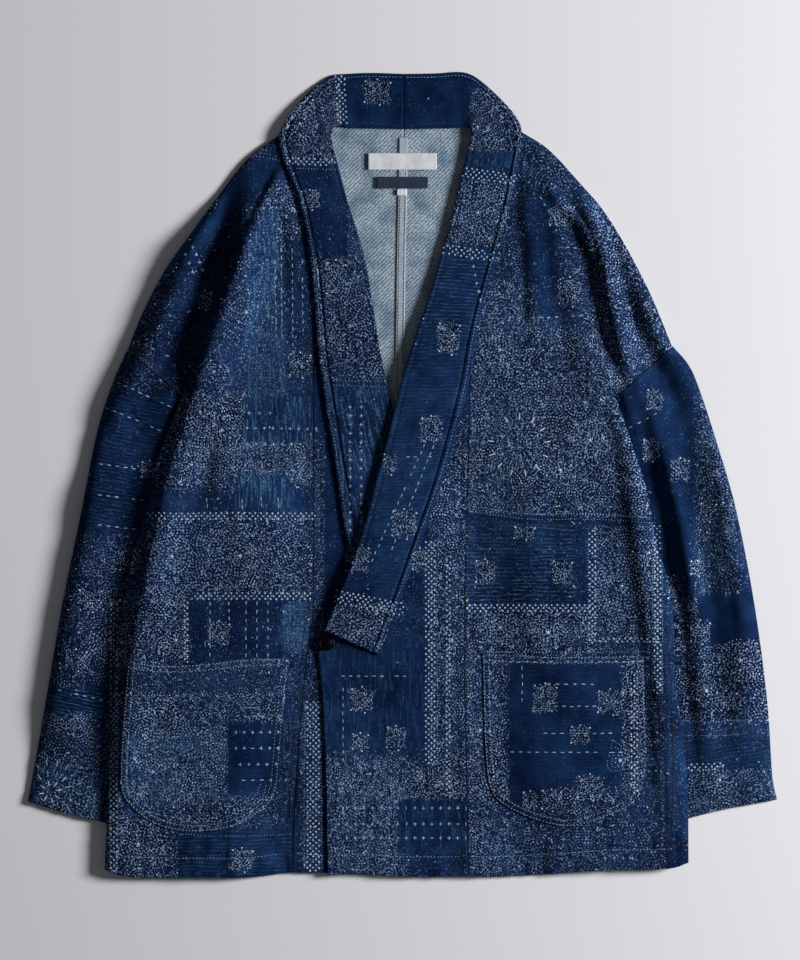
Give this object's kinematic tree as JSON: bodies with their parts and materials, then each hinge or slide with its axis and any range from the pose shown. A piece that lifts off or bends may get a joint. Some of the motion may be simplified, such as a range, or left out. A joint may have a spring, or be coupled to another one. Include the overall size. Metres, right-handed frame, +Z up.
{
  "type": "patched boro jacket, laid flat",
  "caption": "Open-front indigo patchwork jacket with a folded collar band, wide sleeves and patch pockets, laid flat with its front up.",
  "frame": {"origin": "bottom centre of the bounding box of the laid jacket", "axes": "+X to the viewer's right (the wearer's left), +Y from the hem to the neck, +Z up out of the laid front"},
  "size_m": [0.7648, 0.8221, 0.0189],
  "materials": {
    "indigo_patchwork": "heavy indigo twill woven as worn patchwork, with pale speckles, dots and running stitches",
    "pale_inside": "pale blue-grey inside face of the twill",
    "white_woven": "smooth white woven tape, blank",
    "navy_woven": "smooth navy woven tape, blank",
    "black_stud": "black enamelled press stud"
  },
  "bodies": {
    "root": {"back_right": "indigo_patchwork", "back_left": "indigo_patchwork", "front_right": "indigo_patchwork", "front_left": "indigo_patchwork", "overlap_right": "indigo_patchwork", "overlap_left": "indigo_patchwork", "sleeve_right": "indigo_patchwork", "sleeve_left": "indigo_patchwork", "collar_right": "indigo_patchwork", "collar_left": "indigo_patchwork", "pocket_right": "indigo_patchwork", "pocket_left": "indigo_patchwork", "back_seam_tape": "pale_inside", "neck_label": "white_woven", "small_label": "navy_woven", "size_tab": "white_woven", "press_stud": "black_stud"}
  },
  "joints": []
}
